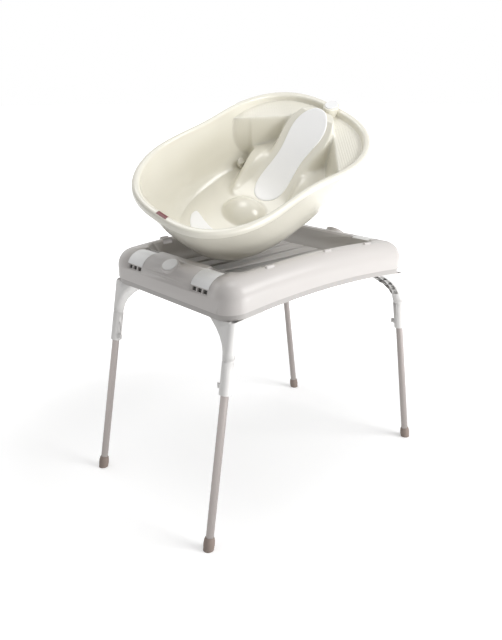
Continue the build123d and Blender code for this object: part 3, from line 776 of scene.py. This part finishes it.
    def pads(self) -> None:
        """The peanut pad on the back rest and the cross-wise bean pad at the foot end."""
        a = np.linspace(0, 2 * np.pi, self.pad_around, endpoint=False)
        c, s = np.cos(a), np.sin(a)
        x = self.back_pad_x - self.back_pad_len * c
        mean, swell, swell_x, swell_len = self.back_pad_half
        head, head_x, head_soft = self.back_pad_head
        broad = mean + swell * np.cos((x - swell_x) / swell_len) + head * step(x - head_x, head_soft)
        half = np.sqrt(np.clip(1 - c**4, 0, 1)) * broad
        peanut = np.stack([x, np.sign(s) * half], -1)
        self.pad("recliner_pad", "back_pad", peanut, (self.back_pad_x, 0.0))
        across = -self.foot_pad_wid * s
        thick = self.foot_pad_half * np.sign(c) * np.abs(c) ** self.foot_pad_power
        bean = np.stack([self.foot_pad_x[0] + self.foot_pad_bend * across**2 + thick, across], -1)
        self.pad("foot_end_pad", "floor_pad", bean, (self.foot_pad_x[1], 0.0))

    def rim_boss(self) -> None:
        """Oval boss that bridges the lip at the head end and carries the badge, with a rounded top edge."""
        a = np.linspace(0, 2 * np.pi, self.boss_around, endpoint=False)
        bend, rise = quarter_round(self.boss_round, self.boss_rows)
        foot = np.array(self.boss_foot)
        inset = np.concatenate([foot[:, :1], bend, [[self.boss_flat]]])
        z = np.concatenate([foot[:, 1:], rise, [[0.0]]]) + self.boss_top
        x = self.boss_x + (self.boss_half[0] - inset) * np.cos(a)
        y = (self.boss_half[1] - inset) * np.sin(a)
        rings = np.stack(np.broadcast_arrays(x, y, z), -1)
        dress(self.closed_piece("rim_boss", rings, 50), IVORY, "tub", "tub")

    def strip(self) -> None:
        """Thin strip over the crest of the lip at the foot end: a patch of the lip, thickened upwards."""
        along = np.linspace(*self.strip_span, self.strip_points)
        turn = np.pi - np.sign(along) * np.abs(along / self.strip_half) ** (self.power / 2)
        x, y, z, _ = self.inner_wall(np.array([1.0]), turn)
        lip = np.stack(self.lip(np.stack([x[0], y[0], z[0]], -1), turn), -1)[slice(*self.strip_rows)]
        under, over = self.strip_skins
        skins = np.concatenate([lip - [0, 0, under], lip[::-1] + [0, 0, over]])
        piece = self.closed_piece("temperature_strip", np.swapaxes(skins, 0, 1))
        dress(piece, STRIP, "strip", "tub", "heat_strip")

    def build(self) -> None:
        """Make every piece of the bath."""
        self.shell()
        self.rim_boss()
        self.pads()
        self.strip()
        dress(smoothed_copy("badge_rim"), CLIP_WHITE, "badge", "tub", "badge_rim")
        dress(smoothed_copy("drain_plug"), IVORY, "plug", "plug", "drain_plug")


@dataclass
class Stand:
    """The stand: deck shell, skirt, knees, legs, knobs and clips as the solids give them, and end badges."""

    roll_x: float = 0.3565
    roll_z: float = 0.76436
    shoulder_r: float = 0.060
    clip_y: float = 0.172
    track_r: float = 0.0507
    # sizes of the dark sheets of painted shade behind the clip windows
    shade_sheet_thick: float = 0.0014
    shade_sheet_lap: float = 0.0002
    shade_sheet_deg: Pair = (3.0, 26.0)
    shade_sheet_half: float = 0.044
    shade_sheet_points: int = 12
    button_deg: float = 58.0
    button_half: Pair = (0.036, 0.030)
    button_high: float = 0.0066
    button_root: float = -0.020
    button_edge: float = 0.003
    button_rim: float = 0.0035
    dish_slope: float = 0.0015
    dish_deep: float = 0.001
    badge_half: Pair = (0.0305, 0.0245)
    badge_edge: float = 0.0012
    badge_root: float = -0.0012
    badge_top: float = 0.0014
    badge_in: Pair = (0.010, 0.018)
    badge_crown: Pair = (0.0019, 0.0021)
    oval_around: int = 72
    edge_rows: int = 7

    def on_shoulder(self, end: int, half: Pair, inset: Points, high: Points) -> tuple[Points, Faces]:
        """Ovals stacked square to the end shoulder, each drawn in by its inset and raised by its height.

        Args:
            end: -1 for the front end, 1 for the back end.
            half: half sizes of the outer oval, across and down the slope.
            inset: how far each oval is drawn in, one row each.
            high: height of each oval over the shoulder, one row each.

        Returns:
            The points and the faces of the closed form.
        """
        a = np.linspace(0, 2 * np.pi, self.oval_around, endpoint=False)
        lean = math.radians(self.button_deg)
        out = np.array([end * math.cos(lean), 0.0, math.sin(lean)])
        down = np.array([end * math.sin(lean), 0.0, -math.cos(lean)])
        middle = np.array([end * self.roll_x, 0.0, self.roll_z]) + self.shoulder_r * out
        over = -end * (half[0] - inset) * np.cos(a)
        along = (half[1] - inset) * np.sin(a)
        rings = middle + over[..., None] * np.array([0.0, 1.0, 0.0]) + along[..., None] * down
        return closed_rings(rings + np.broadcast_to(high, over.shape)[..., None] * out)

    def buttons(self) -> None:
        """Wide button at each end with a dished top, and the bare white badge set into the dish."""
        bend, rise = quarter_round(self.button_edge, self.edge_rows)
        rim = self.button_rim
        inset = np.concatenate([[[0.0]], bend, [[rim], [rim + self.dish_slope]]])
        high = self.button_high + np.concatenate([[[self.button_root]], rise, [[0.0], [-self.dish_deep]]])
        bend, rise = quarter_round(self.badge_edge, self.edge_rows)
        plate_in = np.concatenate([[[0.0]], bend, np.array(self.badge_in)[:, None]])
        plate_high = [[[self.badge_root]], self.badge_top + rise, np.array(self.badge_crown)[:, None]]
        plate_high = self.button_high + np.concatenate(plate_high)
        for end, end_name in ENDS:
            button = self.on_shoulder(end, self.button_half, inset, high)
            dress(piece_from(f"badge_button_{end_name}", *button), SHELL, "deck", "stand")
            plate = self.on_shoulder(end, self.badge_half, plate_in, plate_high)
            node = f"badge_{end_name}"
            dress(piece_from(f"{node}_plate", *plate), CLIP_WHITE, "badge", "stand", node)

    def window_shade_sheets(self) -> None:
        """Painted shade behind each clip's windows: a dark strip of arc carried along y, just inside the
        track.
        """
        low, high = np.radians(self.shade_sheet_deg)
        turn = np.linspace(low, high, self.shade_sheet_points)
        turn = np.concatenate([turn, turn[::-1]])
        skins = [self.track_r + self.shade_sheet_lap, self.track_r - self.shade_sheet_thick]
        radius = np.repeat(skins, self.shade_sheet_points)
        across = self.roll_x + radius * np.cos(turn)
        up = self.roll_z + radius * np.sin(turn)
        for end, end_name in ENDS:
            for side, side_name in SIDES:
                along = side * self.clip_y + self.shade_sheet_half * np.array([-1.0, 1.0])
                ring = np.stack([end * across, up], -1)[:: -end]
                rings = np.stack(np.broadcast_arrays(ring[:, 0], along[:, None], ring[:, 1]), -1)
                piece = piece_from(f"window_shade_sheet_{end_name}_{side_name}", *closed_rings(rings))
                dress(piece, SHADE, "deck", "stand")

    def build(self) -> None:
        """Make the dark sheets of painted shade behind the clip windows and the badges, then dress each solid
        with its own finish, the skirt with painted shade.
        """
        self.window_shade_sheets()
        self.buttons()
        finishes = {
            "deck": SHELL,
            "skirt": WHITE,
            "clip": CLIP_WHITE,
            "tube": TUBE,
            "foot": RUBBER,
            "knob": WHITE,
            "steel": STEEL,
        }
        for part in frame["record"]["subparts"]:
            node, slot = part["node"], part["material_slot"]
            if slot in finishes:
                body = frame["nodes"][node]["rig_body"]
                # the skirt frame gets the deck colour darkened by painted shade
                finish = SKIRT_SHADED if node == "skirt_frame" else finishes[slot]
                dress(smoothed_copy(node), finish, slot, body, node)


@dataclass(frozen=True)
class Lamp:
    """One square soft lamp: its place and size in metres and its power in watts."""

    name: str
    at: Triple
    size: float
    power: float

    def build(self, target: Triple) -> None:
        """Hang the lamp, aimed at the target.

        Args:
            target: point that it faces.
        """
        data = bpy.data.lights.new(self.name, "AREA")
        data.size = self.size
        data.energy = self.power
        lamp = bpy.data.objects.new(self.name, data)
        aim = Vector(self.at) - Vector(target)
        lamp.matrix_world = Matrix.Translation(self.at) @ aim.to_track_quat("Z", "Y").to_matrix().to_4x4()
        bpy.context.scene.collection.objects.link(lamp)


@dataclass
class Studio:
    """Floor, soft lamps, pale world and the camera at the photograph's viewing angle."""

    eye: Triple = (-1.504, -1.598, 1.326)
    azimuth_deg: float = -42.28
    elevation_deg: float = 19.655
    lens: float = 35.97
    sensor: float = 36.0
    ambient: float = 0.40
    floor_span: float = 60.0
    floor_drop: float = 0.0005
    floor_grey: float = 0.93
    floor_roughness: float = 0.9
    floor_specular: float = 0.1
    floor_lift: float = 0.30
    floor_fade: Pair = (0.7, 2.2)
    target: Triple = (0.0, 0.0, 0.85)
    lamps: tuple[Lamp, ...] = (
        Lamp("key", (1.6, -3.0, 3.0), 1.8, 76),
        Lamp("low", (0.9, -3.0, 0.15), 1.8, 76),
        Lamp("top", (-0.3, 0.2, 3.8), 1.6, 26),
        Lamp("back", (-0.6, 3.0, 2.6), 2.2, 8),
    )

    def build(self) -> None:
        """Set up the whole studio."""
        self.camera()
        self.floor()
        self.world()
        for lamp in self.lamps:
            lamp.build(self.target)
        bpy.context.scene.view_settings.view_transform = "Standard"

    def camera(self) -> None:
        """Aim the camera by azimuth and elevation from its measured place."""
        az, el = math.radians(self.azimuth_deg), math.radians(self.elevation_deg)
        back = Vector((math.sin(az) * math.cos(el), -math.cos(az) * math.cos(el), math.sin(el)))
        data = bpy.data.cameras.new("photo_view")
        data.lens = self.lens
        data.sensor_width = self.sensor
        data.sensor_fit = "AUTO"
        view = bpy.data.objects.new("photo_view", data)
        view.matrix_world = Matrix.Translation(self.eye) @ back.to_track_quat("Z", "Y").to_matrix().to_4x4()
        bpy.context.scene.collection.objects.link(view)
        bpy.context.scene.camera = view

    def floor(self) -> None:
        """Pale floor, a little below the feet, that takes the soft shadow and fades to white far away."""
        span, low = self.floor_span, -self.floor_drop
        corners = [(-span, -span, low), (span, -span, low), (span, span, low), (-span, span, low)]
        mesh = bpy.data.meshes.new("floor")
        mesh.from_pydata(corners, [], [(0, 1, 2, 3)])
        matt = bpy.data.materials.new("pale_floor")
        matt.use_nodes = True
        tree = matt.node_tree
        shader = tree.nodes["Principled BSDF"]
        shader.inputs["Base Color"].default_value = (self.floor_grey, self.floor_grey, self.floor_grey, 1)
        shader.inputs["Roughness"].default_value = self.floor_roughness
        shader.inputs["Specular IOR Level"].default_value = self.floor_specular
        shader.inputs["Emission Color"].default_value = (1, 1, 1, 1)
        place = tree.nodes.new("ShaderNodeTexCoord")
        away = tree.nodes.new("ShaderNodeVectorMath")
        away.operation = "LENGTH"
        fade = tree.nodes.new("ShaderNodeMapRange")
        fade.interpolation_type = "SMOOTHSTEP"
        fade.inputs["From Min"].default_value = self.floor_fade[0]
        fade.inputs["From Max"].default_value = self.floor_fade[1]
        fade.inputs["To Min"].default_value = 1.0
        fade.inputs["To Max"].default_value = 1.0 / self.floor_lift
        tree.links.new(place.outputs["Object"], away.inputs[0])
        tree.links.new(away.outputs["Value"], fade.inputs["Value"])
        lift = math_node(tree, "MULTIPLY", fade.outputs["Result"], self.seen_only(tree, self.floor_lift))
        tree.links.new(lift, shader.inputs["Emission Strength"])
        mesh.materials.append(matt)
        ground = placed("floor", mesh)

    def seen_only(
        self, tree: bpy.types.NodeTree, strength: float, other: float = 0.0
    ) -> bpy.types.NodeSocket:
        """One strength for what the camera, a reflection or a clear part sees, and another for lighting.

        Args:
            tree: node tree to add the nodes to.
            strength: strength where it is seen.
            other: strength where it lights.

        Returns:
            The socket that carries it.
        """
        path = tree.nodes.new("ShaderNodeLightPath")
        seen = path.outputs["Is Camera Ray"]
        for name in ("Is Glossy Ray", "Is Transmission Ray"):
            seen = math_node(tree, "MAXIMUM", seen, path.outputs[name])
        span = tree.nodes.new("ShaderNodeMapRange")
        span.inputs["To Min"].default_value = other
        span.inputs["To Max"].default_value = strength
        tree.links.new(seen, span.inputs["Value"])
        return span.outputs["Result"]

    def world(self) -> None:
        """Even white surroundings."""
        world = bpy.data.worlds.new("studio_white")
        world.use_nodes = True
        bpy.context.scene.world = world
        shade = world.node_tree.nodes["Background"]
        shade.inputs["Color"].default_value = (1, 1, 1, 1)
        strength = self.seen_only(world.node_tree, 1.0, self.ambient)
        world.node_tree.links.new(strength, shade.inputs["Strength"])


def main() -> None:
    """Build the stand, the bath and the studio."""
    logging.basicConfig(level=logging.INFO, format="%(message)s")
    Stand().build()
    Bath().build()
    Studio().build()


if __name__ == "__main__":
    main()
